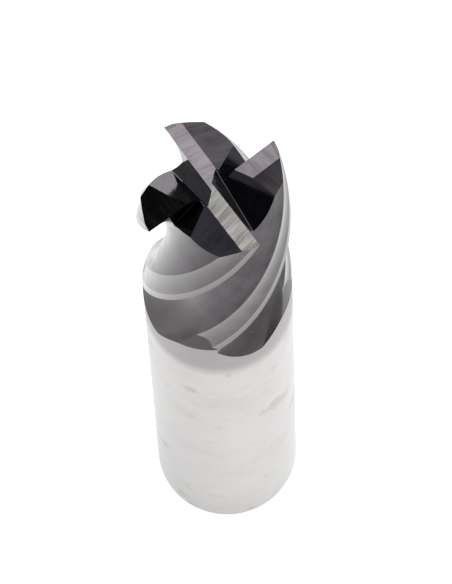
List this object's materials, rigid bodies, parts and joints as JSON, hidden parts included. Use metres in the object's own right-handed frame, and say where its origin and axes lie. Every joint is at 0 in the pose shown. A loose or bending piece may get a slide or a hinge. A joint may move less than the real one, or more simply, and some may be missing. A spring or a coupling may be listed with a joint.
{
  "type": "end mill",
  "caption": "Square end mill: a plain round shank, a run-out band, and helical teeth on a solid web with relieved, gashed, centre-cutting end teeth.",
  "frame": {"origin": "centre of the flat shank end, which is the lowest face", "axes": "+Z along the tool's axis from the shank end to the cutting end; the corner of the first long tooth is on the +X side"},
  "size_m": [0.0126, 0.0126, 0.0762],
  "materials": {
    "ground_shank": "ground",
    "coated_head": "satin dark nitride coating"
  },
  "bodies": {
    "root": {"shank": "ground_shank", "flute_runout": "coated_head", "web_core": "coated_head", "long_tooth_1": "coated_head", "short_tooth_2": "coated_head", "long_tooth_3": "coated_head", "short_tooth_4": "coated_head"}
  },
  "joints": []
}
